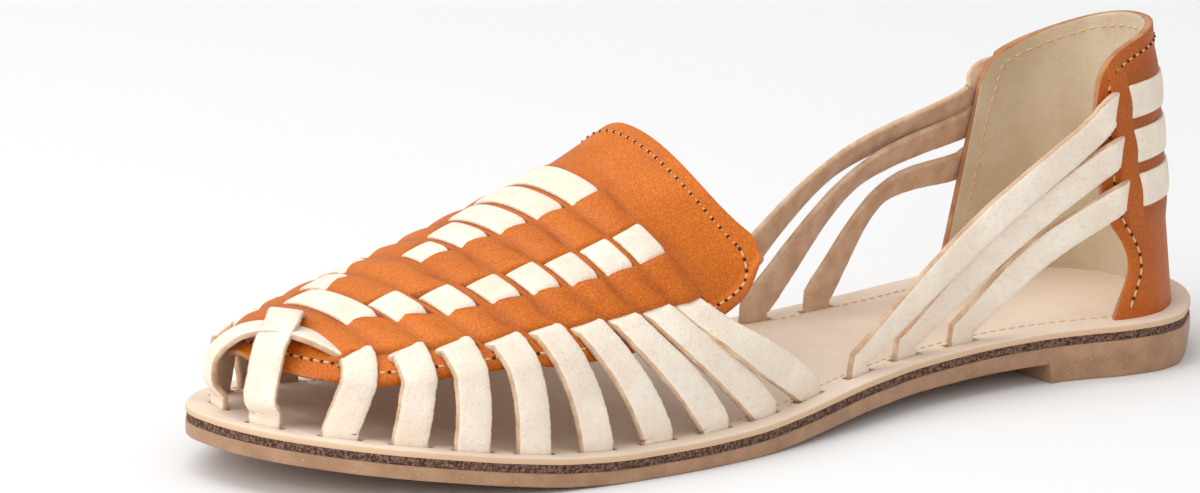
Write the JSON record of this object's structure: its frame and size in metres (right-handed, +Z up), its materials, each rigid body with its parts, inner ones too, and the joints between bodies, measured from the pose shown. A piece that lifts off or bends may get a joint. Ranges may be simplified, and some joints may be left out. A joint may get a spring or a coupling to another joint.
{
  "type": "huarache sandal",
  "caption": "Woven leather huarache sandal: slotted apron vamp laced with straps, heel counter joined to the sole by slanting straps, thin layered sole with a low heel.",
  "frame": {"origin": "middle of the bounding box, on the ground", "axes": "+X towards the toe, +Y towards the shoe's left (outer) side, +Z up"},
  "size_m": [0.2426, 0.0884, 0.0703],
  "materials": {
    "outsole": "translucent beige, satin",
    "midsole": "dark brown speckled board, matt",
    "insole": "natural undyed leather, matt",
    "vamp": "smooth tan leather, soft gloss; its straps are natural undyed leather",
    "counter": "smooth tan leather, soft gloss; its straps are natural undyed leather"
  },
  "bodies": {
    "root": {"outsole": "outsole", "midsole": "midsole", "insole": "insole", "vamp": "vamp", "counter": "counter"}
  },
  "joints": []
}
